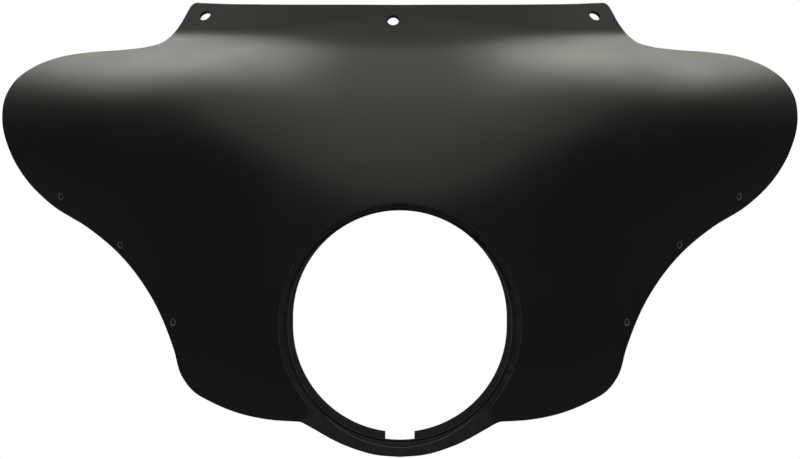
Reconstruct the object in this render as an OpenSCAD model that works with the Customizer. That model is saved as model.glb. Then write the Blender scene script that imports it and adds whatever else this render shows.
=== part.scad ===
// Batwing motorcycle fairing, outer shell. One moulding in millimetres.
// Frame: origin at the centre of the headlamp seat's floor.
// The front faces -Y, +X is the viewer's right, +Z is up.

/* [Outline] */
// Overall width over the wing tips
shell_w = 822; // [780:1:860]
// Height of the windscreen flange's top edge above the headlamp centre
flange_z = 326; // [316:1:336]
// Drop of the chin below the headlamp centre
chin_drop = 132; // [130:0.5:136]

/* [Form] */
// Setback of the swept wings at the nominal half width, without the shoulder
sweep_d = 196; // [170:1:220]
// Power of the plan sweep
sweep_pow = 2.3; // [2.1:0.05:2.5]
// Extra sweep of the lower sides, as a share
side_share = 0.35; // [0.2:0.05:0.45]
// Height above which the sides take no extra sweep
side_h = 200; // [180:1:220]
// Setback of the shoulder over the headlamp
crown_d = 141; // [130:1:150]
// Setback that the shoulder loses between the centre and the flange ends
crown_fall = 17; // [10:1:25]
// Distance from the centre at which that loss starts
crown_x = 80; // [70:1:90]
// Width over which it is reached
crown_len = 140; // [120:1:160]
// Further setback that the shoulder loses out on the wings
wing_fall = 30; // [20:1:40]
// Distance from the centre at which that loss starts
wing_x = 260; // [245:1:275]
// Width over which it is reached
wing_len = 150; // [130:1:170]
// Power of the shoulder's profile at the centre
crown_pow = 2.1; // [1.9:0.05:2.3]
// Power of the shoulder's profile on the wings
wing_pow = 7.3; // [6:0.1:8.5]
// Distance from the centre at which the wings' power starts to blend in
pow_x = 30; // [20:1:40]
// Width over which it blends in
pow_len = 200; // [180:1:220]
// Height at which the lean starts, above the headlamp centre
lean_z = 60; // [50:1:70]
// Height of the wing's top line, above the headlamp centre
wing_z = 286; // [280:1:290]
// Distance from the centre at which the top line starts to fall
drop_x = 240; // [230:1:250]
// Length over which it falls by wing_drop
drop_len = 100; // [90:1:110]
// Fall of the wing's top line over that length
wing_drop = 9; // [7:0.5:11]
// Curl of the lower lobes toward the back, per mm squared
tuck = 0.004; // [0.002:0.0005:0.006]
// Depth below the headlamp centre at which the lobes start to curl
tuck_drop = 30; // [20:1:40]

/* [Windscreen flange] */
// Setback of the flange's top edge at the centre
flange_d = 182; // [177:1:187]
// Rise of setback per mm of height
flange_slope = 1.04; // [0.95:0.01:1.1]
// Plan radius of the flange
flange_r = 440; // [400:5:500]
// Half width past which the flange runs straight
flange_x = 300; // [280:5:320]
// Height of the flange's flat band
band_h = 34; // [28:1:40]
// Length that sets how soon the band curves back below
band_len = 50; // [40:1:60]
// Blend between shoulder and flange
flange_blend = 12; // [8:1:18]

/* [Wall] */
// Moulded wall
wall = 3.5; // [3:0.1:4.5]
// Extra wall round the headlamp recess
seat_wall = 3.5; // [2.5:0.1:4]
// Width of the extra wall outside the recess's front edge
seat_wall_w = 8; // [6:0.5:10]
// Width over which it fades to the moulded wall
seat_fade = 28; // [24:1:34]
// Width of the zone round the headlamp that flattens to the recess's plane
ring_zone = 140; // [120:5:160]

/* [Headlamp recess] */
// Radius of the recess's front edge
recess_r = 121.3; // [120:0.1:123]
// Depth of the outer step
recess_d = 4; // [3.8:0.1:4.5]
// Width of the outer step
step_w = 4.4; // [4:0.1:4.8]
// Depth of the headlamp seat's floor below the outer step
seat_step = 4; // [3.4:0.1:4.6]
// Thickness of the seat's floor
floor_t = 4.5; // [3.5:0.1:6]
// Width of the seat's floor, from its wall to the opening
lip_w = 10.7; // [10:0.1:12]
// Width of the seat ring behind the skin, past the recess's front edge
collar_w = 5.7; // [4.5:0.1:7]
// Overlap of the seat ring with the skin's back
collar_lap = 1.8; // [1.2:0.1:2.4]
// Distance between the centres of the opening's lower and upper arcs
open_rise = 9; // [6:0.5:9.5]
// Width of the opening's bottom notch
notch_w = 29; // [20:0.5:40]
// Distance from the notch's floor to the seat's wall
notch_gap = 2.7; // [2:0.1:4]
// Width of the fine groove in the seat's floor
groove_w = 1.3; // [0.8:0.1:1.6]
// Distance from the fine groove to the seat's wall
groove_gap = 4; // [3.4:0.1:4.6]
// Depth of the fine groove
groove_d = 0.8; // [0.4:0.1:1.2]

/* [Chin] */
// Step of the chin strip below the lobes' faces
chin_step = 3.2; // [2.6:0.1:3.6]
// Width of the slope between the chin strip and the lobes at the outline
chin_slope_w = 2.6; // [2:0.1:3.2]

/* [Windscreen holes] */
// Diameter of the windscreen holes
screen_hole_d = 12.5; // [8:0.1:13]
// Sideways offset of the middle hole
mid_hole_x = -6.9; // [-10:0.1:10]
// Drop of the middle hole below the flange's top edge
mid_hole_drop = 16.2; // [13:0.1:20]
// Offset of the outer holes, as a share of the half width
outer_hole_share = 0.4903; // [0.47:0.001:0.495]
// Drop of the outer holes below the flange's top edge
outer_hole_drop = 9.5; // [9:0.1:14]

/* [Trim holes] */
// Upper trim hole: share of the half width, share of the flange's height
upper_trim = [0.843, 0.396];
// Middle trim hole: share of the half width, share of the flange's height
middle_trim = [0.690, 0.245];
// Lower trim hole: share of the half width, share of the flange's height
lower_trim = [0.5565, 0.006];
// Diameter of the small trim-screw holes
trim_hole_d = 3; // [2:0.1:4]
// Diameter of their countersinks
trim_sink_d = 7.3; // [5:0.1:8]
// Depth of their countersinks
trim_sink_h = 1.6; // [1:0.1:2]

/* [Hidden] */
ring_rows = 15;
step_len = 14;
half_w = shell_w / 2;
eps = 0.4;
seat_r = recess_r - step_w;
seat_d = recess_d + seat_step;
collar_r = recess_r + collar_w;
collar_y = seat_d + floor_t;
open_r = seat_r - lip_w;
notch_r = seat_r - notch_gap;
groove_r = seat_r - groove_gap;

// Right half of the outline from top centre to the chin corner: shares of half width and of height.
side_pts = [
    [0, 1.001], [0.251, 1.004], [0.5136, 1.012],
    [0.530, 1.006], [0.5377, 0.990],
    [0.550, 0.9586], [0.570, 0.9196], [0.593, 0.8926], [0.6265, 0.8745], [0.689, 0.8635],
    [0.780, 0.857], [0.859, 0.844], [0.926, 0.8125], [0.9705, 0.7693], [0.9949, 0.711],
    [1, 0.6515], [0.973, 0.524], [0.9333, 0.448], [0.8676, 0.3718], [0.7713, 0.296],
    [0.698, 0.221], [0.6078, 0.072], [0.5567, -0.188], [0.5321, -0.409], [0.486, -0.553],
    [0.394, -0.671], [0.3285, -0.7145], [0.2387, -0.733]
];
// The chin from its corner to the bottom centre.
chin_pts = [[0.2387, -0.733], [0.1314, -0.914], [0.0608, -0.9825], [0, -1]];

function soft(t) = let (c = min(max(t, 0), 1)) c * c * (3 - 2 * c);

function softmin(a, b, k) =
    let (h = min(max(0.5 + 0.5 * (b - a) / k, 0), 1)) b + (a - b) * h - k * h * (1 - h);

// Setback of the free form: plan sweep, leaning shoulder and tucked lobes.
function form(x, z) =
    let (
        a = abs(x),
        sweep = sweep_d * pow(a / half_w, sweep_pow) * (1 + side_share * soft((side_h - z) / side_h)),
        top = wing_z - wing_drop * pow(max(a - drop_x, 0) / drop_len, 1.5),
        t = max((z - lean_z) / (top - lean_z), 0),
        n = crown_pow + (wing_pow - crown_pow) * soft((a - pow_x) / pow_len),
        d = crown_d - crown_fall * soft((a - crown_x) / crown_len)
            - wing_fall * soft((a - wing_x) / wing_len)
    )
    sweep + d * pow(t, n) + tuck * pow(max(-tuck_drop - z, 0), 2);

// Setback of the windscreen flange.
function flange(x, z) =
    let (a = min(abs(x), flange_x))
    flange_d + flange_slope * (z - flange_z) + flange_r - sqrt(pow(flange_r, 2) - a * a)
        + pow(max(flange_z - band_h - z, 0), 2) / band_len;

// Setback of the front skin: the form drawn to the recess's plane, under the flange.
function skin(x, z) =
    let (r = max(norm([x, z]), 1), k = recess_r / r)
    r <= recess_r ? 0
    : softmin(
        form(x, z) - form(x * k, z * k) * (1 - soft((r - recess_r) / ring_zone)),
        flange(x, z), flange_blend);

// Unit normal of the front skin, pointing out of the front.
function skin_normal(x, z) =
    let (
        gx = (skin(x + eps, z) - skin(x - eps, z)) / (2 * eps),
        gz = (skin(x, z + eps) - skin(x, z - eps)) / (2 * eps)
    )
    [gx, -1, gz] / norm([gx, -1, gz]);

function sized(p) = [p.x * half_w, p.y * (p.y > 0 ? flange_z : chin_drop)];

function seg_dir(p, i) = (p[i + 1] - p[i]) / norm(p[i + 1] - p[i]);

// Direction of the curve at point i of list p.
function knot_dir(p, i) =
    i == 0 ? seg_dir(p, 0)
    : i == len(p) - 1 ? seg_dir(p, i - 1)
    : let (h0 = norm(p[i] - p[i - 1]), h1 = norm(p[i + 1] - p[i]))
        (seg_dir(p, i - 1) * h1 + seg_dir(p, i) * h0) / (h0 + h1);

function hermite(p0, p1, m0, m1, t) =
    let (q = 1 - t)
    p0 * (1 + 2 * t) * q * q + m0 * t * q * q + p1 * t * t * (3 - 2 * t) - m1 * t * t * q;

// Smooth curve through the points of p, about step_len apart, without its last point.
function curve(p) = [
    for (i = [0 : len(p) - 2])
        let (h = norm(p[i + 1] - p[i]), n = max(1, round(h / step_len)))
        for (s = [0 : n - 1])
            hermite(p[i], p[i + 1], knot_dir(p, i) * h, knot_dir(p, i + 1) * h, s / n)
];

side = [for (p = side_pts) sized(p)];
chin = [for (p = chin_pts) sized(p)];
corner = chin[0];
corner_side = side[len(side) - 2];
near_corner = corner + (corner_side - corner) * (chin_slope_w / norm(corner_side - corner));

// Right half of the outline: [x, z, chin flag].
right_half = concat(
    [for (p = curve(side)) [p.x, p.y, 0]],
    [[near_corner.x, near_corner.y, 0]],
    [for (p = curve(chin)) [p.x, p.y, 1]]
);
last_right = len(right_half) - 1;
outline = concat(
    right_half,
    [[0, -chin_drop, 1]],
    [for (j = [last_right : -1 : 1]) [-right_half[j][0], right_half[j][1], right_half[j][2]]]
);
rays = len(outline);

inner_r = open_r - 6.2;
rows = ring_rows + 2;

// Radius of row i along a ray that ends at radius r.
function row_r(i, r) =
    i == 0 ? inner_r
    : i == 1 ? recess_r - 0.3
    : recess_r - 0.3 + (r - recess_r + 0.3) * (1 - pow(1 - (i - 1) / ring_rows, 1.35));

function grid_point(i, j) =
    let (o = outline[j], r = norm([o[0], o[1]]), k = row_r(i, r) / r)
    [o[0] * k, o[2] == 1 ? chin_step : skin(o[0] * k, o[1] * k), o[1] * k];

function grid_normal(i, j) =
    let (o = outline[j], p = grid_point(i, j))
    o[2] == 1 || i < 2 ? [0, -1, 0] : skin_normal(p.x, p.z);

// Wall at radius r from the headlamp axis.
function wall_at(r) = wall + seat_wall * (1 - soft((r - recess_r - seat_wall_w) / seat_fade));

front_pts = [for (i = [0 : rows - 1]) for (j = [0 : rays - 1]) grid_point(i, j)];
back_pts = [
    for (i = [0 : rows - 1])
        for (j = [0 : rays - 1])
            let (p = front_pts[i * rays + j])
            p - grid_normal(i, j) * wall_at(norm([p.x, p.z]))
];

function quad(a, b, c, d, flip) = flip ? [[a, b, d], [b, c, d]] : [[a, b, c], [a, c, d]];

skin_faces = [
    for (j = [0 : rays - 1])
        let (n = (j + 1) % rays, back = rows * rays, flip = j >= rays / 2, top = (rows - 1) * rays)
        each concat(
            [for (i = [0 : rows - 2]) each quad(
                i * rays + j, (i + 1) * rays + j, (i + 1) * rays + n, i * rays + n, flip)],
            [for (i = [0 : rows - 2]) each quad(
                back + i * rays + j, back + i * rays + n,
                back + (i + 1) * rays + n, back + (i + 1) * rays + j, !flip)],
            quad(top + j, back + top + j, back + top + n, top + n, flip),
            quad(j, n, back + n, back + j, !flip)
        )
];

// Cylinder along the headlamp axis between two setbacks.
module headlamp_disc(r, y0, y1) {
    translate([0, y1, 0])
        rotate([90, 0, 0])
            cylinder(h = y1 - y0, r = r, $fn = 160);
}

// Hole square to the front skin at a point, with an optional countersink.
module skin_hole(x, z, d, sink_d, sink_h) {
    n = skin_normal(x, z);
    translate([x, skin(x, z), z])
        rotate([0, acos(n.z), atan2(n.y, n.x)]) {
            translate([0, 0, -3 * wall])
                cylinder(h = 5 * wall, d = d, $fn = 48);
            if (sink_h > 0)
                translate([0, 0, -sink_h])
                    cylinder(h = 2 * sink_h, d1 = d, d2 = 2 * sink_d - d, $fn = 48);
        }
}

module shell_skin() {
    polyhedron(points = concat(front_pts, back_pts), faces = skin_faces, convexity = 8);
}

module headlamp_recess() {
    headlamp_disc(recess_r, -6, recess_d);
    headlamp_disc(seat_r, recess_d - 1, seat_d);
    difference() {
        headlamp_disc(groove_r, seat_d - 1, seat_d + groove_d);
        headlamp_disc(groove_r - groove_w, seat_d - 2, seat_d + groove_d + 1);
    }
}

module headlamp_opening() {
    headlamp_disc(open_r, -8, collar_y + 6);
    translate([0, 0, open_rise])
        headlamp_disc(open_r, -8, collar_y + 6);
    translate([-open_r, -8, 0])
        cube([2 * open_r, collar_y + 14, open_rise]);
    intersection() {
        headlamp_disc(notch_r, -8, collar_y + 6);
        translate([-notch_w / 2, -9, -notch_r - 2])
            cube([notch_w, collar_y + 16, 40]);
    }
}

module windscreen_holes() {
    skin_hole(mid_hole_x, flange_z - mid_hole_drop, screen_hole_d, 0, 0);
    for (s = [-1, 1])
        skin_hole(s * outer_hole_share * half_w, flange_z - outer_hole_drop, screen_hole_d, 0, 0);
}

module trim_holes() {
    for (s = [-1, 1])
        for (h = [upper_trim, middle_trim, lower_trim])
            skin_hole(s * h.x * half_w, h.y * flange_z, trim_hole_d, trim_sink_d, trim_sink_h);
}

module fairing_shell() {
    color([0.07, 0.07, 0.068])
        translate([0, -seat_d, 0])
            difference() {
                union() {
                    shell_skin();
                    headlamp_disc(collar_r, wall + seat_wall - collar_lap, collar_y);
                }
                headlamp_recess();
                headlamp_opening();
                windscreen_holes();
                trim_holes();
            }
}

fairing_shell();
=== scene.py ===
"""Dresses a motorcycle's front fairing shell: one moulding in matt black ABS, in a plain studio."""

import logging
import math
from dataclasses import dataclass, field
from enum import Enum

import bmesh
import bpy
import numpy as np
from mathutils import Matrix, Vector


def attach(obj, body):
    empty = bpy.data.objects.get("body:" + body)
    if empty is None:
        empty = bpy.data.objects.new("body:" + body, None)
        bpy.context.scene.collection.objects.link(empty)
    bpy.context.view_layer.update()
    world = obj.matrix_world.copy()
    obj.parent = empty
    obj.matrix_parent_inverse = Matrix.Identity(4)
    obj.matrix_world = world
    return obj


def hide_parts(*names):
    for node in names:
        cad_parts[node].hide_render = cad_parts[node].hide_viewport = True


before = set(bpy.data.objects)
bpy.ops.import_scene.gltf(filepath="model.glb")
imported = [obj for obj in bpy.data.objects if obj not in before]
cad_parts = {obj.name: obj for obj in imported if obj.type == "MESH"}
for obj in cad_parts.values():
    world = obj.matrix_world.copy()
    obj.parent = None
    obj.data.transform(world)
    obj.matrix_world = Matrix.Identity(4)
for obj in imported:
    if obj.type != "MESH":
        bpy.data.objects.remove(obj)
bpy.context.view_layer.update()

log = logging.getLogger("fairing")

MM = 0.001

Array = np.ndarray


class Side(Enum):
    """The two halves of the shell, as the viewer in front sees them."""

    LEFT = -1.0
    RIGHT = 1.0


class HoleKind(Enum):
    """What a hole in the skin is for."""

    WINDSCREEN = "windscreen"
    TRIM = "trim"


class Zone(Enum):
    """Kinds of surface on the moulding, in the order of its finishes."""

    SKIN = 0
    # The grained faces also carry a painted sheen, and the thin edge faces a painted highlight.
    GRAIN_AND_SHEEN = 1
    PAINTED_HIGHLIGHT = 2


def soft(t: Array) -> Array:
    """Smooth step from 0 to 1 over t from 0 to 1."""
    c = np.clip(t, 0.0, 1.0)
    return c * c * (3.0 - 2.0 * c)


def soft_min(a: Array, b: Array, blend: float) -> Array:
    """Smaller of two setbacks, rounded over a blend width.

    Args:
        a: First setback, in mm.
        b: Second setback, in mm.
        blend: Width of the rounding, in mm.

    Returns:
        The blended setback, in mm.
    """
    h = np.clip(0.5 + 0.5 * (b - a) / blend, 0.0, 1.0)
    return b + (a - b) * h - blend * h * (1.0 - h)


def linear(hex_colour: str) -> tuple[float, float, float, float]:
    """Turns an sRGB hex colour to the linear RGBA that a shader takes."""
    parts = [int(hex_colour.lstrip("#")[i : i + 2], 16) / 255.0 for i in (0, 2, 4)]
    return tuple(c / 12.92 if c <= 0.04045 else ((c + 0.055) / 1.055) ** 2.4 for c in parts) + (1.0,)


def add_node(
    tree: bpy.types.NodeTree,
    kind: str,
    settings: dict[str, object] | None = None,
    inputs: dict[str | int, object] | None = None,
) -> bpy.types.Node:
    """Adds one node with its settings and links.

    Args:
        tree: Node tree that takes the node.
        kind: Blender's name of the node type.
        settings: Attributes of the node.
        inputs: Values of its sockets, or the output sockets that feed them.

    Returns:
        The new node.
    """
    node = tree.nodes.new(kind)
    for name, value in (settings or {}).items():
        setattr(node, name, value)
    for name, value in (inputs or {}).items():
        if isinstance(value, bpy.types.NodeSocket):
            tree.links.new(value, node.inputs[name])
        else:
            node.inputs[name].default_value = value
    return node


def seen_directly(tree: bpy.types.NodeTree) -> bpy.types.NodeSocket:
    """Tells the rays that come straight from the camera, or through something clear, from the rest.

    Args:
        tree: Node tree that takes the nodes.

    Returns:
        Socket that is 1 for such rays and 0 for all others.
    """
    path = add_node(tree, "ShaderNodeLightPath").outputs
    either = add_node(
        tree,
        "ShaderNodeMath",
        {"operation": "MAXIMUM"},
        {0: path["Is Camera Ray"], 1: path["Is Transmission Ray"]},
    )
    return either.outputs[0]


@dataclass(frozen=True)
class FreeForm:
    """Setback of the front skin behind the recess's front edge. Lengths are in mm."""

    half_width: float = 411.0
    flange_top: float = 326.0
    chin_drop: float = 132.0
    sweep: float = 196.0
    sweep_power: float = 2.3
    side_share: float = 0.35
    side_height: float = 200.0
    crown: float = 148.0
    crown_fall: float = 9.0
    crown_from: float = 80.0
    crown_over: float = 140.0
    wing_fall: float = 51.0
    wing_from: float = 260.0
    wing_over: float = 150.0
    crown_power: float = 2.05
    wing_power: float = 5.2
    power_from: float = 30.0
    power_over: float = 200.0
    lean_from: float = 60.0
    top_line: float = 286.0
    top_fall: float = 9.0
    top_from: float = 240.0
    top_over: float = 100.0
    tuck: float = 12.5
    tuck_from: float = 20.0
    screw_line: float = 313.0
    flange_setback: float = 168.5
    flange_slope: float = 0.53
    flange_twist: float = 0.36
    twist_over: float = 220.0
    flange_radius: float = 440.0
    flange_straight: float = 300.0
    flange_band: float = 22.0
    flange_foot: float = 60.0
    flange_blend: float = 20.0
    ring_radius: float = 121.3
    ring_zone: float = 140.0

    def body(self, x: Array, z: Array) -> Array:
        """Setback of the swept body: plan sweep, leaning shoulder and tucked lobes.

        Args:
            x: Distance to the right of the headlamp's axis.
            z: Height above it.

        Returns:
            Setback at each place.
        """
        a = np.abs(x)
        side = 1.0 + self.side_share * soft((self.side_height - z) / self.side_height)
        sweep = self.sweep * (a / self.half_width) ** self.sweep_power * side
        over = np.clip(a - self.top_from, 0.0, None) / self.top_over
        top = self.top_line - self.top_fall * over**1.5
        t = np.clip((z - self.lean_from) / (top - self.lean_from), 0.0, None)
        power = self.crown_power + (self.wing_power - self.crown_power) * soft(
            (a - self.power_from) / self.power_over
        )
        lean = (
            self.crown
            - self.crown_fall * soft((a - self.crown_from) / self.crown_over)
            - self.wing_fall * soft((a - self.wing_from) / self.wing_over)
        )
        drop = np.clip(-self.tuck_from - z, 0.0, None) / (self.chin_drop - self.tuck_from)
        return sweep + lean * t**power + self.tuck * drop**2

    def flange(self, x: Array, z: Array) -> Array:
        """Setback of the band that the windscreen is screwed to, which leans more at its ends.

        Args:
            x: Distance to the right of the headlamp's axis.
            z: Height above it.

        Returns:
            Setback at each place.
        """
        a = np.minimum(np.abs(x), self.flange_straight)
        foot = np.clip(self.flange_top - self.flange_band - z, 0.0, None)
        plan = self.flange_radius - np.sqrt(self.flange_radius**2 - a * a)
        slope = self.flange_slope + self.flange_twist * soft(a / self.twist_over)
        return self.flange_setback + slope * (z - self.screw_line) + plan + foot**2 / self.flange_foot

    def skin(self, x: Array, z: Array) -> Array:
        """Setback of the front skin: the body drawn to the recess's plane, under the flange.

        Args:
            x: Distance to the right of the headlamp's axis.
            z: Height above it.

        Returns:
            Setback at each place.
        """
        r = np.maximum(np.hypot(x, z), 1.0)
        k = self.ring_radius / r
        drawn = self.body(x * k, z * k) * (1.0 - soft((r - self.ring_radius) / self.ring_zone))
        value = soft_min(self.body(x, z) - drawn, self.flange(x, z), self.flange_blend)
        return np.where(r <= self.ring_radius, 0.0, value)

    def slopes(self, x: Array, z: Array, step: float = 0.4) -> tuple[Array, Array]:
        """Slopes of the front skin, from places a step to each side.

        Args:
            x: Distance to the right of the headlamp's axis.
            z: Height above it.
            step: Distance to the places that are compared.

        Returns:
            Rise of setback per mm along x, and along z.
        """
        across = (self.skin(x + step, z) - self.skin(x - step, z)) / (2.0 * step)
        up = (self.skin(x, z + step) - self.skin(x, z - step)) / (2.0 * step)
        return across, up

    def normal(self, x: Array, z: Array) -> Array:
        """Unit normals of the front skin, pointing out of the front.

        Args:
            x: Distance to the right of the headlamp's axis.
            z: Height above it.

        Returns:
            Normals, one row for each place.
        """
        across, up = self.slopes(x, z)
        n = np.stack([across, -np.ones_like(across), up], axis=-1)
        return n / np.linalg.norm(n, axis=-1, keepdims=True)


@dataclass(frozen=True)
class Outline:
    """The shell's outline from the front, as shares of half width and of height or chin drop."""

    sides: tuple[tuple[float, float], ...] = (
        (0, 1.001), (0.347, 1.006), (0.439, 1.0095), (0.5, 1.0138),
        (0.5165, 1.0143), (0.526, 1.006), (0.5345, 0.9885),
        (0.55, 0.951), (0.5735, 0.9105), (0.5965, 0.885), (0.63, 0.872), (0.689, 0.8632),
        (0.78, 0.8565), (0.859, 0.8418), (0.926, 0.8095), (0.9705, 0.7665), (0.9955, 0.709),
        (1, 0.6515), (0.973, 0.5277), (0.9345, 0.4505), (0.869, 0.371), (0.7718, 0.296),
        (0.699, 0.2225), (0.608, 0.074), (0.556, -0.188), (0.5355, -0.395),
        (0.507, -0.509), (0.4616, -0.59), (0.3949, -0.6705), (0.3265, -0.7145), (0.24, -0.732),
    )  # fmt: skip
    chin: tuple[tuple[float, float], ...] = ((0.24, -0.732), (0.1314, -0.915), (0.0608, -0.983), (0, -1))
    fine_step: float = 0.5

    def _smooth(self, points: Array) -> Array:
        """Hermite curve through some points, about fine_step apart, without its last point.

        Args:
            points: Corner points, one row each.

        Returns:
            Points of the smooth curve.
        """
        gaps = np.diff(points, axis=0)
        lengths = np.linalg.norm(gaps, axis=1)
        units = gaps / lengths[:, None]
        knots = [units[0]]
        for i in range(1, len(units)):
            before, after = lengths[i - 1], lengths[i]
            knots.append((units[i - 1] * after + units[i] * before) / (before + after))
        knots.append(units[-1])
        pieces = []
        for i, length in enumerate(lengths):
            t = np.arange(0.0, 1.0, self.fine_step / length)[:, None]
            q = 1.0 - t
            pieces.append(
                points[i] * (1 + 2 * t) * q * q
                + knots[i] * length * t * q * q
                + points[i + 1] * t * t * (3 - 2 * t)
                - knots[i + 1] * length * t * t * q
            )
        return np.concatenate(pieces)

    def right_half(self, form: FreeForm) -> Array:
        """Fine points of the right half, from the top centre to the bottom centre.

        Args:
            form: Front skin, which gives the outline its size.

        Returns:
            Points in mm, one row each.
        """

        def sized(points: tuple[tuple[float, float], ...]) -> Array:
            """Turns shares to mm.

            Args:
                points: Shares of half width, and of height or chin drop.

            Returns:
                Points in mm, one row each.
            """
            p = np.array(points, float)
            tall = np.where(p[:, 1] > 0, form.flange_top, form.chin_drop)
            return np.stack([p[:, 0] * form.half_width, p[:, 1] * tall], axis=1)

        last = np.array([[0.0, -form.chin_drop]])
        return np.concatenate([self._smooth(sized(self.sides)), self._smooth(sized(self.chin)), last])


@dataclass(frozen=True)
class HeadlampSeat:
    """Stepped ring that the headlamp's trim sits in. Depths are behind its front edge, in mm."""

    step_depth: float = 4.0
    seat_radius: float = 116.9
    seat_depth: float = 8.0
    groove_depth: float = 9.5
    lip_radius: float = 112.2
    lip_drop: float = 3.0
    lip_rise: float = 2.0
    lip_fade: float = 1.4
    open_radius: float = 106.6
    open_rise: float = 7.9
    notch_half: float = 14.5
    notch_radius: float = 114.2
    relief_radius: float = 103.6
    relief_drop: float = 18.0
    relief_depth: float = 6.0
    back_depth: float = 12.5
    back_radius: float = 127.0

    @staticmethod
    def long_round(angle: Array, radius: float, low: float, high: float) -> Array:
        """Reach of a disc that is stretched upright, seen from the headlamp's axis.

        Args:
            angle: Angle from straight up.
            radius: Radius of both ends.
            low: Height of the lower end's centre.
            high: Height of the upper end's centre.

        Returns:
            Distance from the axis to its edge.
        """
        across, up = np.sin(angle), np.cos(angle)
        ends = [c * up + np.sqrt(radius**2 - (c * across) ** 2) for c in (low, high)]
        flank = radius / np.maximum(np.abs(across), 1e-6)
        level = flank * up
        flank = np.where((level >= low) & (level <= high), flank, 0.0)
        return np.maximum(np.maximum(*ends), flank)

    def opening(self, angle: Array) -> Array:
        """Distance from the axis to the opening's edge, with the notch at the bottom.

        Args:
            angle: Angle from straight up.

        Returns:
            The distance for each angle.
        """
        plain = self.long_round(angle, self.open_radius, 0.0, self.open_rise)
        side = self.notch_half / np.maximum(np.abs(np.sin(angle)), 1e-6)
        notch = np.minimum(side, self.notch_radius)
        return np.where(np.cos(angle) < 0.0, np.maximum(plain, notch), plain)

    def lip(self, angle: Array) -> Array:
        """Distance from the axis to the lip's outer edge."""
        return self.long_round(angle, self.lip_radius, -self.lip_drop, self.lip_rise)

    def relief(self, angle: Array) -> Array:
        """Distance from the axis to the relief's edge above the chin, or to the seat's wall.

        Args:
            angle: Angle from straight up.

        Returns:
            The distance for each angle.
        """
        across, up = np.sin(angle), np.cos(angle)
        reach = -self.relief_drop * up + np.sqrt(self.relief_radius**2 - (self.relief_drop * across) ** 2)
        return np.maximum(reach, self.seat_radius)


@dataclass(frozen=True)
class SkinHole:
    """A round hole with a broken edge or a countersink. Lengths in mm.

    It is square to the skin, or to the slopes across and up that square_to gives.
    """

    kind: HoleKind
    x: float
    z: float
    radius: float
    mouth: float = 0.25
    sink_radius: float = 0.0
    sink_depth: float = 0.0
    ring_width: float = 1.0
    square_to: tuple[float, float] | None = None
    overshoot: float = 4.0
    mouth_angles: tuple[float, ...] = (20.0, 42.0, 66.0, 90.0)
    turns: int = 56

    def profile(self, wall: float) -> list[tuple[float, float, Zone]]:
        """Section of the cutter: height over the skin, radius and the zone that follows.

        Args:
            wall: Thickness of the shell there.

        Returns:
            Corner points of the section, from outside to inside.
        """
        arc = [(1.0 - math.cos(a), 1.0 - math.sin(a)) for a in map(math.radians, self.mouth_angles)]
        if self.kind is HoleKind.TRIM:
            # The countersink's rounded mouth and a ring of ring_width inside it take the pale painted
            # highlight.
            edge = [(-self.mouth * h, self.sink_radius + self.mouth * r, Zone.PAINTED_HIGHLIGHT) for h, r in arc[:3]]
            share = self.ring_width / (self.sink_radius - self.radius)
            inner = (-self.sink_depth * share, self.sink_radius - self.ring_width, Zone.SKIN)
            front = edge + [inner, (-self.sink_depth, self.radius, Zone.SKIN)]
        else:
            front = [(-self.mouth * h, self.radius + self.mouth * r, Zone.SKIN) for h, r in arc[:3]]
            front.append((-self.mouth, self.radius, Zone.SKIN))
        back = [
            (self.mouth * h - wall, self.radius + self.mouth * r, Zone.SKIN) for h, r in reversed(arc)
        ]
        first = (self.overshoot, front[0][1], Zone.SKIN)
        last = (-wall - self.overshoot, back[-1][1], Zone.SKIN)
        return [first] + front + back + [last]

    def cutter(self, bm: bmesh.types.BMesh, form: FreeForm, shift: float, wall: float) -> None:
        """Adds this hole's cutter to a mesh.

        Args:
            bm: Mesh that takes the cutter.
            form: Front skin.
            shift: Move of the whole part along y, in mm.
            wall: Thickness of the shell there.
        """
        place = np.array([self.x]), np.array([self.z])
        n = Vector(form.normal(*place)[0])
        if self.square_to is not None:
            across, up = self.square_to
            n = Vector((across, -1.0, up)).normalized()
        origin = Vector((self.x, float(form.skin(*place)[0]) + shift, self.z))
        turn = n.to_track_quat("Z", "Y").to_matrix()
        section = self.profile(wall)
        rings = []
        for height, radius, _ in section:
            ring = []
            for k in range(self.turns):
                a = 2.0 * math.pi * k / self.turns
                local = Vector((radius * math.cos(a), radius * math.sin(a), height))
                ring.append(bm.verts.new((origin + turn @ local) * MM))
            rings.append(ring)
        for upper, lower, (_, _, zone) in zip(rings, rings[1:], section):
            for k in range(self.turns):
                m = (k + 1) % self.turns
                bm.faces.new((upper[k], lower[k], lower[m], upper[m])).material_index = zone.value
        bm.faces.new(rings[0])
        bm.faces.new(list(reversed(rings[-1])))


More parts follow.
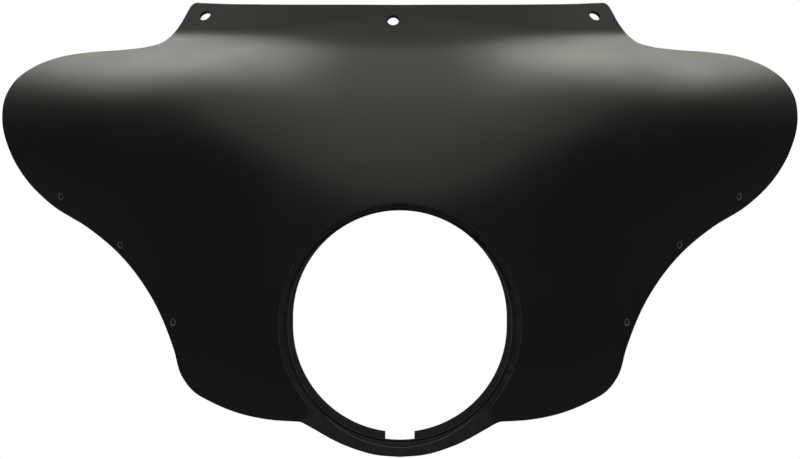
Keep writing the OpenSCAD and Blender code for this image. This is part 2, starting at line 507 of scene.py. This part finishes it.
@dataclass(frozen=True)
class MouldedAbs:
    """Injection-moulded ABS with a fine matt tool grain.

    The grain scatters the softbox into one broad, dim sheen, so that the black reads as plastic
    and not as paint. Slow changes of gloss show where the melt cooled at different speeds.
    """

    name: str = "matt_moulded_abs"
    dark: str = "#141412"
    pale: str = "#191917"
    ior: float = 1.54
    roughness_low: float = 0.47
    roughness_high: float = 0.53
    grain_mm: float = 1.3
    grain_height_mm: float = 0.012
    flow_mm: float = 70.0
    flow_detail: float = 3.0
    grain_detail: float = 2.0
    colour_span: tuple[float, float] = (0.35, 0.65)
    gloss_span: tuple[float, float] = (0.3, 0.7)

    def build(self) -> bpy.types.Material:
        """Makes the material.

        Returns:
            The new material.
        """
        material = bpy.data.materials.new(self.name)
        material.use_nodes = True
        tree = material.node_tree
        tree.nodes.clear()
        place = add_node(tree, "ShaderNodeTexCoord").outputs["Object"]
        flow = add_node(
            tree,
            "ShaderNodeTexNoise",
            inputs={
                "Vector": place,
                "Scale": 1.0 / (self.flow_mm * MM),
                "Detail": self.flow_detail,
                "Roughness": 0.5,
            },
        ).outputs["Fac"]
        # The tool's grain is about 0.2 mm, too fine to show at 1 mm to the pixel, so it is drawn
        # as coarse as grain_mm.
        grain = add_node(
            tree,
            "ShaderNodeTexNoise",
            inputs={
                "Vector": place,
                "Scale": 1.0 / (self.grain_mm * MM),
                "Detail": self.grain_detail,
                "Roughness": 0.6,
            },
        ).outputs["Fac"]
        colour = add_node(tree, "ShaderNodeValToRGB", inputs={"Fac": flow})
        shades = (self.dark, self.pale)
        for stop, place_on, shade in zip(colour.color_ramp.elements, self.colour_span, shades):
            stop.position, stop.color = place_on, linear(shade)
        gloss = add_node(
            tree,
            "ShaderNodeMapRange",
            inputs={
                "Value": flow,
                "From Min": self.gloss_span[0],
                "From Max": self.gloss_span[1],
                "To Min": self.roughness_low,
                "To Max": self.roughness_high,
            },
        ).outputs["Result"]
        bump = add_node(
            tree,
            "ShaderNodeBump",
            inputs={"Height": grain, "Strength": 1.0, "Distance": self.grain_height_mm * MM},
        ).outputs["Normal"]
        shader = add_node(
            tree,
            "ShaderNodeBsdfPrincipled",
            inputs={
                "Base Color": colour.outputs["Color"],
                "Roughness": gloss,
                "IOR": self.ior,
                "Normal": bump,
            },
        )
        add_node(tree, "ShaderNodeOutputMaterial", inputs={"Surface": shader.outputs["BSDF"]})
        return material


# The outer skin: a satin face off a finely blasted tool, which shows one soft sheen.
SATIN_SKIN = MouldedAbs()
# The recess and the chin strip: coarse tool grain, rougher and bumpier, on a grey base colour that is
# painted sheen, the light the grain catches from the lamps.
GRAINED_RING_PAINTED_SHEEN = MouldedAbs(
    "coarse_grained_abs_painted_sheen",
    dark="#343433",
    pale="#434342",
    roughness_low=0.8,
    roughness_high=0.9,
    grain_mm=1.8,
    grain_height_mm=0.08,
    flow_mm=9.0,
)
# Painted highlight: a pale, rough copy of the black plastic on the recess's front edge, the lip's and
# step's rounded edges and the trim-screw countersinks, painted as the thin light lines those edges catch.
EDGE_PAINTED_HIGHLIGHT = MouldedAbs(
    "abs_edge_painted_highlight",
    dark="#7c7c7a",
    pale="#8c8c8a",
    roughness_low=0.6,
    roughness_high=0.7,
    grain_height_mm=0.02,
    flow_mm=12.0,
)


@dataclass(frozen=True)
class StudioPaint:
    """Pale matt emulsion on the studio's floor, which the camera sees near white.

    Other rays meet a darker coat, so that little light comes back up under the shell.
    """

    name: str = "pale_matt_emulsion"
    seen: str = "#ececea"
    unseen: str = "#969694"
    roughness: float = 0.85

    def build(self) -> bpy.types.Material:
        """Makes the material.

        Returns:
            The new material.
        """
        material = bpy.data.materials.new(self.name)
        material.use_nodes = True
        tree = material.node_tree
        tree.nodes.clear()
        colour = add_node(
            tree,
            "ShaderNodeMix",
            {"data_type": "RGBA"},
            {"Factor": seen_directly(tree), 6: linear(self.unseen), 7: linear(self.seen)},
        )
        shader = add_node(
            tree,
            "ShaderNodeBsdfPrincipled",
            inputs={"Base Color": colour.outputs[2], "Roughness": self.roughness},
        )
        add_node(tree, "ShaderNodeOutputMaterial", inputs={"Surface": shader.outputs["BSDF"]})
        return material


@dataclass(frozen=True)
class Rays:
    """Rays from the headlamp's axis over the outline, which the moulding's sections stand on.

    Each has its angle from straight up, its direction, the distance to the edge of the recess or
    chin strip, its point on the outline with the direction outward, and whether it meets the chin.
    """

    angle: Array
    unit: Array
    edge_r: Array
    rim: Array
    out: Array
    chin: Array

    def at(self, r: Array | float, depth: Array | float) -> Array:
        """Places one point on each ray.

        Args:
            r: Distance from the headlamp's axis.
            depth: Depth behind the recess's front edge.

        Returns:
            Points, one row for each ray.
        """
        r = np.broadcast_to(np.asarray(r, float), self.angle.shape)
        depth = np.broadcast_to(np.asarray(depth, float), self.angle.shape)
        return np.stack([self.unit[:, 0] * r, depth, self.unit[:, 1] * r], axis=1)


@dataclass(frozen=True)
class Corner:
    """A corner of the moulding's section on every ray: place, rounding in mm and zones."""

    place: Array
    size: float = 0.0
    steps: int = 0
    then: Zone = Zone.SKIN
    arc: Zone = Zone.SKIN


@dataclass
class FairingShell:
    """The whole moulding: skin, rim, headlamp seat, chin strip and screw holes.

    Lengths are in mm and angles in degrees. Gaps between rays and chin_rays are in radians.
    """

    name: str = "fairing_shell_moulding"
    form: FreeForm = field(default_factory=FreeForm)
    outline: Outline = field(default_factory=Outline)
    seat: HeadlampSeat = field(default_factory=HeadlampSeat)
    finishes: tuple[MouldedAbs, ...] = (SATIN_SKIN, GRAINED_RING_PAINTED_SHEEN, EDGE_PAINTED_HIGHLIGHT)
    # Wall, and what the ring behind the headlamp's seat adds to it.
    wall: float = 3.5
    ring_wall: float = 3.5
    ring_wall_width: float = 8.0
    ring_wall_fade: float = 28.0
    # Chin strip, and the lobes' rounded corners beside it.
    chin_half_angle: float = 46.1
    chin_fillet: float = 11.0
    chin_inner: float = 131.8
    chin_least: float = 3.0
    lobe_side_angle: float = 60.0
    # Where the back of the wall becomes square to the skin.
    square_back_from: float = 140.0
    square_back_over: float = 40.0
    # Roundings of the recess's edge and the rim, and where the rows stop short of them.
    edge_round: float = 0.9
    rim_front: float = 1.1
    rim_back: float = 0.8
    rim_inset: float = 1.6
    back_inset: float = 0.6
    back_margin: float = 2.0
    relief_fade: float = 0.5
    # Screw holes: places across and up, and the slopes that the windscreen's holes are square to.
    screen_radius: float = 6.0
    middle_screen: tuple[float, float] = (-6.9, 309.8)
    middle_slopes: tuple[float, float] = (-0.014, 1.097)
    outer_screen: tuple[float, float] = (201.5, 316.5)
    outer_slopes: tuple[float, float] = (0.515, 1.04)
    trim_places: tuple[tuple[float, float], ...] = ((346.5, 129.1), (283.6, 79.9), (228.7, 2.0))
    trim_radius: float = 0.9
    trim_mouth: float = 0.35
    trim_sink_radius: float = 3.5
    trim_sink_depth: float = 1.4
    # How the rays and rows are spread, and how the mesh is cleaned.
    half_rays: int = 270
    turn_weight: float = 130.0
    bend_weight: float = 14.0
    lobe_rays: int = 12
    chin_rays: tuple[float, ...] = (0.0, 0.002, 0.006, 0.014)
    step_gap: float = 0.0006
    notch_gap: float = 0.0008
    ray_gap: float = 0.002
    edge_rows: tuple[float, ...] = (0.0, 0.06, 0.22, 0.5, 0.9, 1.7)
    edge_reach: float = 4.0
    # Rows on the rounding of the recess's front edge that take the pale painted highlight.
    highlight_rows: int = 2
    skin_rows: int = 40
    back_rows: int = 20
    weld: float = 0.002
    sliver: float = 0.001
    sharp_angle: float = 38.0

    def holes(self) -> list[SkinHole]:
        """Lists the holes through the skin.

        Returns:
            The three windscreen holes and the six small trim-screw holes.
        """
        x, z = self.middle_screen
        found = [SkinHole(HoleKind.WINDSCREEN, x, z, self.screen_radius, square_to=self.middle_slopes)]
        for side in Side:
            x, z = self.outer_screen
            slopes = (side.value * self.outer_slopes[0], self.outer_slopes[1])
            screen = SkinHole(
                HoleKind.WINDSCREEN, side.value * x, z, self.screen_radius, square_to=slopes
            )
            found.append(screen)
            for x, z in self.trim_places:
                trim = SkinHole(
                    HoleKind.TRIM,
                    side.value * x,
                    z,
                    self.trim_radius,
                    mouth=self.trim_mouth,
                    sink_radius=self.trim_sink_radius,
                    sink_depth=self.trim_sink_depth,
                )
                found.append(trim)
        return found

    @property
    def _chin_edge(self) -> float:
        """Angle from straight down to the chin strip's edge, in radians."""
        return math.radians(self.chin_half_angle)

    @property
    def _lobe_turn(self) -> float:
        """Angle that a lobe's rounded corner takes up, seen from the axis, in radians."""
        return math.asin(self.chin_fillet / (self.form.ring_radius + self.chin_fillet))

    def wall_at(self, r: Array) -> Array:
        """Wall at a distance from the headlamp's axis."""
        start = self.form.ring_radius + self.ring_wall_width
        return self.wall + self.ring_wall * (1.0 - soft((r - start) / self.ring_wall_fade))

    def _lobe_edge(self, from_down: Array) -> Array:
        """Distance from the axis to the lobes' inner edge, for rays beside the chin strip.

        Args:
            from_down: Angle from straight down, in radians.

        Returns:
            The recess's radius, or more on the lobes' rounded corners.
        """
        ring, fillet = self.form.ring_radius, self.chin_fillet
        reach = ring + fillet
        off = np.abs(from_down - self._chin_edge - self._lobe_turn)
        inside = np.clip(fillet**2 - (reach * np.sin(off)) ** 2, 0.0, None)
        near = reach * np.cos(off) - np.sqrt(inside)
        return np.where(from_down < self._chin_edge + self._lobe_turn, near, ring)

    def _edge_distance(self, x: Array, z: Array) -> Array:
        """Distance from a place on the skin to the edge of the recess or chin strip.

        Args:
            x: Distance to the right.
            z: Height.

        Returns:
            Distance across the skin's plan.
        """
        ring, fillet = self.form.ring_radius, self.chin_fillet
        r = np.hypot(x, z)
        over = np.arctan2(np.abs(x), -z) - self._chin_edge
        along, height = r * np.cos(over), r * np.sin(over)
        tangent = (ring + fillet) * math.cos(self._lobe_turn)
        corner = fillet - np.hypot(along - tangent, height - fillet)
        near = np.where(over < self._lobe_turn, corner, r - ring)
        side = math.radians(self.lobe_side_angle)
        near = np.where((along >= tangent) & (over < side), height, near)
        return np.where(over > side, r - ring, near)

    def _rays(self) -> Rays:
        """Spreads the rays over the outline, closer together where it bends or steps.

        Returns:
            The rays, clockwise from straight up.
        """
        fine = self.outline.right_half(self.form)
        angle = np.arctan2(fine[:, 0], fine[:, 1])
        step = np.diff(fine, axis=0)
        length = np.linalg.norm(step, axis=1)
        heading = np.unwrap(np.arctan2(step[:, 1], step[:, 0]))
        bend = np.abs(np.diff(heading, append=heading[-1]))
        weight = length + self.turn_weight * np.diff(angle) + self.bend_weight * bend
        spread = np.concatenate([[0.0], np.cumsum(weight)])
        chosen = np.interp(np.linspace(0.0, spread[-1], self.half_rays), spread, angle)
        down, chin, turn = math.pi, self._chin_edge, self._lobe_turn
        lobe = [
            chin + self.step_gap + turn * (k / self.lobe_rays) ** 2 for k in range(self.lobe_rays + 1)
        ]
        chin_side = [chin - self.step_gap - d for d in self.chin_rays]
        notch = []
        for r, way in ((self.seat.notch_radius, -1.0), (self.seat.open_radius, 1.0)):
            flank = math.asin(self.seat.notch_half / r)
            notch += [flank, flank + way * self.notch_gap]
        special = np.array([down - a for a in lobe + chin_side + notch])
        gap = np.min(np.abs(chosen[:, None] - special[None, :]), axis=1)
        keep = (gap > self.ray_gap) | (chosen < 1e-6) | (chosen > down - 1e-6)
        inside = (chosen > down - chin - turn) & (chosen < down - chin + self.chin_rays[-1])
        chosen = np.sort(np.concatenate([chosen[keep & ~inside], special]))
        points = np.stack([np.interp(chosen, angle, fine[:, k]) for k in (0, 1)], axis=1)
        along = np.stack([np.gradient(fine[:, k]) for k in (0, 1)], axis=1)
        out = np.stack([np.interp(chosen, angle, v) for v in (-along[:, 1], along[:, 0])], axis=1)
        out /= np.linalg.norm(out, axis=1, keepdims=True)
        out[0], out[-1] = (0.0, 1.0), (0.0, -1.0)
        mirror = np.array([-1.0, 1.0])
        around = np.concatenate([chosen, 2.0 * math.pi - chosen[-2:0:-1]])
        rim = np.concatenate([points, points[-2:0:-1] * mirror])
        from_down = np.abs(math.pi - around)
        on_chin = from_down < chin
        chin_r = np.minimum(self.chin_inner, np.linalg.norm(rim, axis=1) - self.chin_least)
        return Rays(
            angle=around,
            unit=np.stack([np.sin(around), np.cos(around)], axis=1),
            edge_r=np.where(on_chin, chin_r, self._lobe_edge(from_down)),
            rim=rim,
            out=np.concatenate([out, out[-2:0:-1] * mirror]),
            chin=on_chin,
        )

    @staticmethod
    def _rounded(path: list[Corner]) -> list[tuple[Array, Zone]]:
        """Rounds the corners of a section.

        Args:
            path: Corners along the section.

        Returns:
            The section's points, without its first and last corner, each with the zone that follows.
        """
        done = []
        for before, here, after in zip(path, path[1:], path[2:]):
            if here.size <= 0.0:
                done.append((here.place, here.then))
                continue
            back, on = before.place - here.place, after.place - here.place
            back_len = np.linalg.norm(back, axis=1, keepdims=True)
            on_len = np.linalg.norm(on, axis=1, keepdims=True)
            # Two roundings on one short side leave a tenth of it flat.
            cut = np.minimum(here.size, 0.45 * np.minimum(back_len, on_len))
            start = here.place + back * cut / np.maximum(back_len, 1e-9)
            end = here.place + on * cut / np.maximum(on_len, 1e-9)
            for k in range(here.steps + 1):
                t = k / here.steps
                point = start * (1 - t) ** 2 + 2 * here.place * t * (1 - t) + end * t * t
                done.append((point, here.arc if k < here.steps else here.then))
        return done

    def _front(self, rays: Rays, p: Array) -> Array:
        """Lifts places to the front skin, or to the chin strip's face.

        Args:
            rays: The moulding's rays.
            p: Place on each ray, across and up.

        Returns:
            Points, one row for each ray.
        """
        x, z = p[:, 0], p[:, 1]
        d = np.clip(self._edge_distance(x, z), 0.0, self.edge_round)
        rounding = self.edge_round - np.sqrt(self.edge_round**2 - (self.edge_round - d) ** 2)
        y = np.where(rays.chin, self.seat.step_depth, self.form.skin(x, z) + rounding)
        return np.stack([x, y, z], axis=1)

    def _behind(self, p: Array) -> Array:
        """Lifts places to the back of the wall, square to the skin away from the headlamp.

        Args:
            p: Place on each ray, across and up.

        Returns:
            Points, one row for each ray.
        """
        x, z = p[:, 0], p[:, 1]
        r = np.linalg.norm(p, axis=1)
        across, up = self.form.slopes(x, z)
        long = np.sqrt(1.0 + across**2 + up**2)
        wall = self.wall_at(r)
        b = soft((r - self.square_back_from) / self.square_back_over) * wall / long
        y = self.form.skin(x, z) + wall * long + b * (1.0 - long**2)
        return np.stack([x - across * b, y, z - up * b], axis=1)

    def _front_rows(self, rays: Rays, inset: Array) -> list[Array]:
        """Rows of the front, from the edge of the recess or chin strip out to the rim.

        Args:
            rays: The moulding's rays.
            inset: Last place on each ray, just inside the rim.

        Returns:
            Points of each row, one for each ray.
        """
        edge = rays.unit * rays.edge_r[:, None]
        reach = np.linalg.norm(inset - edge, axis=1)
        scale = np.minimum(1.0, reach / self.edge_reach)
        far = [d * scale for d in self.edge_rows]
        start = far[-1]
        for k in range(1, self.skin_rows + 1):
            u = k / self.skin_rows
            # The rows lie closer together by the recess and by the rim than between the two.
            g = 0.55 * u + 0.45 * (1.0 - (1.0 - u) ** 2.2) * soft(np.array(u)) ** 0.3
            far.append(start + (reach - start) * float(g))
        return [self._front(rays, edge + (inset - edge) * (d / reach)[:, None]) for d in far]

    def _rim_corners(self, rays: Rays) -> list[Corner]:
        """Front and back corners of the cut edge all round the shell.

        Args:
            rays: The moulding's rays.

        Returns:
            The two corners.
        """
        x, z = rays.rim[:, 0], rays.rim[:, 1]
        skin = np.stack([x, self.form.skin(x, z), z], axis=1)
        wall = self.wall_at(np.linalg.norm(rays.rim, axis=1))
        back = skin - self.form.normal(x, z) * wall[:, None]
        share = (self.seat.step_depth - skin[:, 1]) / (back[:, 1] - skin[:, 1])
        on_chin = skin + (back - skin) * share[:, None]
        front = np.where(rays.chin[:, None], on_chin, self._front(rays, rays.rim))
        return [Corner(front, self.rim_front, 4), Corner(back, self.rim_back, 3)]

    def _back_corners(self, rays: Rays, inset: Array) -> list[Corner]:
        """Rows of the back, from just inside the rim to the ring behind the headlamp's seat.

        Args:
            rays: The moulding's rays.
            inset: Last place of the front on each ray.

        Returns:
            A plain corner for each row.
        """
        collar = rays.unit * (self.seat.back_radius + self.back_margin)
        start = inset - rays.out * self.back_inset
        found = []
        for k in range(self.back_rows + 1):
            u = 1.0 - k / self.back_rows
            # The rows lie closer together by the ring than by the rim.
            found.append(Corner(self._behind(collar + (start - collar) * (0.6 * u + 0.4 * u**1.6))))
        return found

    def _seat_corners(self, rays: Rays) -> list[Corner]:
        """Corners of the headlamp's ring, from behind it through the opening to its front edge.

        Args:
            rays: The moulding's rays.

        Returns:
            The corners, in order.
        """
        seat = self.seat
        open_r = seat.opening(rays.angle)
        lip_r = np.maximum(seat.lip(rays.angle), open_r)
        lip_share = np.clip((lip_r - open_r) / seat.lip_fade, 0.0, 1.0)
        lip_y = seat.groove_depth - (seat.groove_depth - seat.seat_depth) * lip_share
        relief_r = seat.relief(rays.angle)
        has_relief = np.clip((relief_r - seat.seat_radius) / self.relief_fade, 0.0, 1.0)
        relief_y = seat.step_depth + (seat.relief_depth - seat.step_depth) * has_relief
        ring_y = self._behind(rays.unit * seat.back_radius)[:, 1]
        # The rounded edges of the lip and of the step take the pale painted highlight.
        grain_and_sheen, edge_highlight = Zone.GRAIN_AND_SHEEN, Zone.PAINTED_HIGHLIGHT
        return [
            # Faces of the ring get the coarse grain with its grey painted sheen.
            Corner(rays.at(seat.back_radius, ring_y), 1.2, 2),
            Corner(rays.at(seat.back_radius, seat.back_depth), 0.8, 2, grain_and_sheen),
            Corner(rays.at(open_r, seat.back_depth), 0.5, 2, grain_and_sheen, grain_and_sheen),
            Corner(rays.at(open_r, lip_y), 0.55, 3, grain_and_sheen, grain_and_sheen),
            Corner(rays.at(lip_r, lip_y), 0.75, 3, grain_and_sheen, edge_highlight),
            Corner(rays.at(lip_r, seat.groove_depth), 0.35, 2, grain_and_sheen, grain_and_sheen),
            Corner(rays.at(seat.seat_radius, seat.groove_depth), 0.35, 2, grain_and_sheen, grain_and_sheen),
            Corner(rays.at(seat.seat_radius, relief_y), 0.4, 2, grain_and_sheen, grain_and_sheen),
            Corner(rays.at(relief_r, relief_y), 0.3, 2, grain_and_sheen, grain_and_sheen),
            Corner(rays.at(relief_r, seat.step_depth), 0.5, 3, grain_and_sheen, edge_highlight),
            Corner(rays.at(rays.edge_r, seat.step_depth), 0.5, 2, grain_and_sheen, grain_and_sheen),
        ]

    def _loop(self) -> tuple[Array, Array]:
        """Places every vertex: one closed section for each ray.

        Returns:
            Points in the order section place, ray, axis, and the zone that follows each point.
        """
        rays = self._rays()
        inset = rays.rim - rays.out * self.rim_front * self.rim_inset
        rows = self._front_rows(rays, inset)
        path = [Corner(rows[-2]), Corner(rows[-1])]
        path += self._rim_corners(rays) + self._back_corners(rays, inset) + self._seat_corners(rays)
        path.append(Corner(rows[0]))
        rounded = self._rounded(path)
        points = np.stack(rows[:-1] + [place for place, _ in rounded])
        points[..., 1] -= self.seat.seat_depth
        # The first rows, on the rounding of the recess's front edge, take the pale painted highlight; the
        # chin strip takes the grey painted sheen.
        front_zone = []
        for k in range(len(rows) - 1):
            lobe = Zone.PAINTED_HIGHLIGHT if k < self.highlight_rows else Zone.SKIN
            front_zone.append(np.where(rays.chin, Zone.GRAIN_AND_SHEEN.value, lobe.value))
        zones = np.stack(front_zone + [np.full(rays.angle.shape, zone.value) for _, zone in rounded])
        return points * MM, zones

    def _mesh(self) -> bpy.types.Mesh:
        """Joins the sections into one closed mesh.

        Returns:
            The mesh, without its screw holes.
        """
        points, zones = self._loop()
        rows, rays = points.shape[:2]
        log.info("%s: %d places on each of %d rays", self.name, rows, rays)
        index = np.arange(rows * rays).reshape(rows, rays)
        below, beside = np.roll(index, -1, axis=0), np.roll(index, -1, axis=1)
        faces = np.stack([index, below, np.roll(below, -1, axis=1), beside], axis=-1).reshape(-1, 4)
        mesh = bpy.data.meshes.new(self.name)
        mesh.from_pydata(points.reshape(-1, 3).tolist(), [], faces.tolist())
        for finish in self.finishes:
            mesh.materials.append(finish.build())
        mesh.polygons.foreach_set("material_index", zones.reshape(-1).astype(np.int32))
        bm = bmesh.new()
        bm.from_mesh(mesh)
        bmesh.ops.remove_doubles(bm, verts=bm.verts, dist=self.weld * MM)
        bmesh.ops.dissolve_degenerate(bm, edges=bm.edges, dist=self.sliver * MM)
        bmesh.ops.recalc_face_normals(bm, faces=bm.faces)
        bm.to_mesh(mesh)
        bm.free()
        return mesh

    def _drill(self, piece: bpy.types.Object) -> None:
        """Cuts the screw holes into the moulding.

        Args:
            piece: The moulding, which gets a new mesh.
        """
        bm = bmesh.new()
        for hole in self.holes():
            hole.cutter(bm, self.form, -self.seat.seat_depth, self.wall)
        bmesh.ops.recalc_face_normals(bm, faces=bm.faces)
        mesh = bpy.data.meshes.new("screw_hole_cutters")
        for material in piece.data.materials:
            mesh.materials.append(material)
        bm.to_mesh(mesh)
        bm.free()
        cutter = bpy.data.objects.new("screw_hole_cutters", mesh)
        bpy.context.scene.collection.objects.link(cutter)
        cut = piece.modifiers.new("screw_holes", "BOOLEAN")
        cut.operation, cut.solver, cut.object = "DIFFERENCE", "EXACT", cutter
        bpy.context.view_layer.update()
        graph = bpy.context.evaluated_depsgraph_get()
        drilled = bpy.data.meshes.new_from_object(piece.evaluated_get(graph))
        piece.modifiers.clear()
        plain = piece.data
        piece.data = drilled
        drilled.name = self.name
        bpy.data.meshes.remove(plain)
        bpy.data.objects.remove(cutter)
        bpy.data.meshes.remove(mesh)

    def build(self) -> bpy.types.Object:
        """Makes the moulding, finishes it and ties it to the frame.

        Returns:
            The finished piece.
        """
        piece = bpy.data.objects.new(self.name, self._mesh())
        bpy.context.scene.collection.objects.link(piece)
        self._drill(piece)
        piece.data.shade_smooth()
        piece.data.set_sharp_from_angle(angle=math.radians(self.sharp_angle))
        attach(piece, "root")
        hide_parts("fairing_shell")
        log.info("%s: %d faces", self.name, len(piece.data.polygons))
        return piece


@dataclass(frozen=True)
class Softbox:
    """A rectangular studio lamp. Lengths in m, power in W."""

    name: str
    place: tuple[float, float, float]
    aim: tuple[float, float, float]
    size: tuple[float, float]
    power: float
    colour: str = "#ffffff"

    def build(self) -> bpy.types.Object:
        """Hangs the lamp.

        Returns:
            The lamp's object.
        """
        lamp = bpy.data.lights.new(self.name, "AREA")
        lamp.shape = "RECTANGLE"
        lamp.size, lamp.size_y = self.size
        lamp.energy = self.power
        lamp.color = linear(self.colour)[:3]
        piece = bpy.data.objects.new(self.name, lamp)
        piece.location = self.place
        piece.rotation_euler = (Vector(self.aim) - Vector(self.place)).to_track_quat("-Z", "Y").to_euler()
        bpy.context.scene.collection.objects.link(piece)
        return piece


@dataclass
class Studio:
    """Camera, lamps, floor and the white surroundings. Lengths in m."""

    view_distance: float = 6.0
    view_height: float = 0.0955
    view_side: float = 0.0001
    lens_mm: float = 270.9
    sensor_mm: float = 36.0
    floor_height: float = -0.45
    floor_half: float = 2.6
    ambient: str = "#525252"
    backdrop: str = "#ffffff"
    lamps: tuple[Softbox, ...] = (
        Softbox("overhead_softbox", (0.0, 1.75, 2.08), (0.0, 0.1, 0.15), (3.2, 1.2), 57.0, "#fffff4"),
        Softbox("front_softbox", (0.0, -0.7, 2.35), (0.0, 0.1, 0.15), (3.2, 2.4), 21.0, "#fffff4"),
    )

    def _camera(self, front: float) -> None:
        """Sets the camera square to the shell's front.

        Args:
            front: Place of the recess's front edge along y.
        """
        data = bpy.data.cameras.new("front_camera")
        data.lens, data.sensor_width = self.lens_mm, self.sensor_mm
        camera = bpy.data.objects.new("front_camera", data)
        camera.location = (self.view_side, front - self.view_distance, self.view_height)
        camera.rotation_euler = (math.pi / 2.0, 0.0, 0.0)
        bpy.context.scene.collection.objects.link(camera)
        bpy.context.scene.camera = camera

    def _floor(self) -> bpy.types.Object:
        """Lays the floor.

        Returns:
            The floor's object.
        """
        half = self.floor_half
        mesh = bpy.data.meshes.new("studio_floor")
        plan = ((-half, -half), (half, -half), (half, half), (-half, half))
        corners = [(x, y, self.floor_height) for x, y in plan]
        mesh.from_pydata(corners, [], [(0, 1, 2, 3)])
        mesh.materials.append(StudioPaint().build())
        floor = bpy.data.objects.new("studio_floor", mesh)
        bpy.context.scene.collection.objects.link(floor)
        return floor

    def _surroundings(self) -> None:
        """Lights the room dimly and shows it white to the camera."""
        world = bpy.data.worlds.new("white_studio")
        bpy.context.scene.world = world
        world.use_nodes = True
        tree = world.node_tree
        tree.nodes.clear()
        seen = seen_directly(tree)
        dim, white = (
            add_node(tree, "ShaderNodeBackground", inputs={"Color": linear(shade), "Strength": 1.0})
            for shade in (self.ambient, self.backdrop)
        )
        mix = add_node(
            tree,
            "ShaderNodeMixShader",
            inputs={0: seen, 1: dim.outputs[0], 2: white.outputs[0]},
        )
        add_node(tree, "ShaderNodeOutputWorld", inputs={"Surface": mix.outputs[0]})

    def build(self, front: float) -> None:
        """Sets up the studio.

        Args:
            front: Place of the recess's front edge along y, in m.
        """
        self._camera(front)
        self._floor()
        self._surroundings()
        for lamp in self.lamps:
            lamp.build()
            log.info("%s: %.0f W", lamp.name, lamp.power)
        bpy.context.scene.view_settings.view_transform = "Standard"


def main() -> None:
    """Builds the studio and the shell."""
    logging.basicConfig(level=logging.INFO, format="%(name)s: %(message)s")
    shell = FairingShell()
    Studio().build(-shell.seat.seat_depth * MM)
    shell.build()
    bpy.context.view_layer.update()


if __name__ == "__main__":
    main()
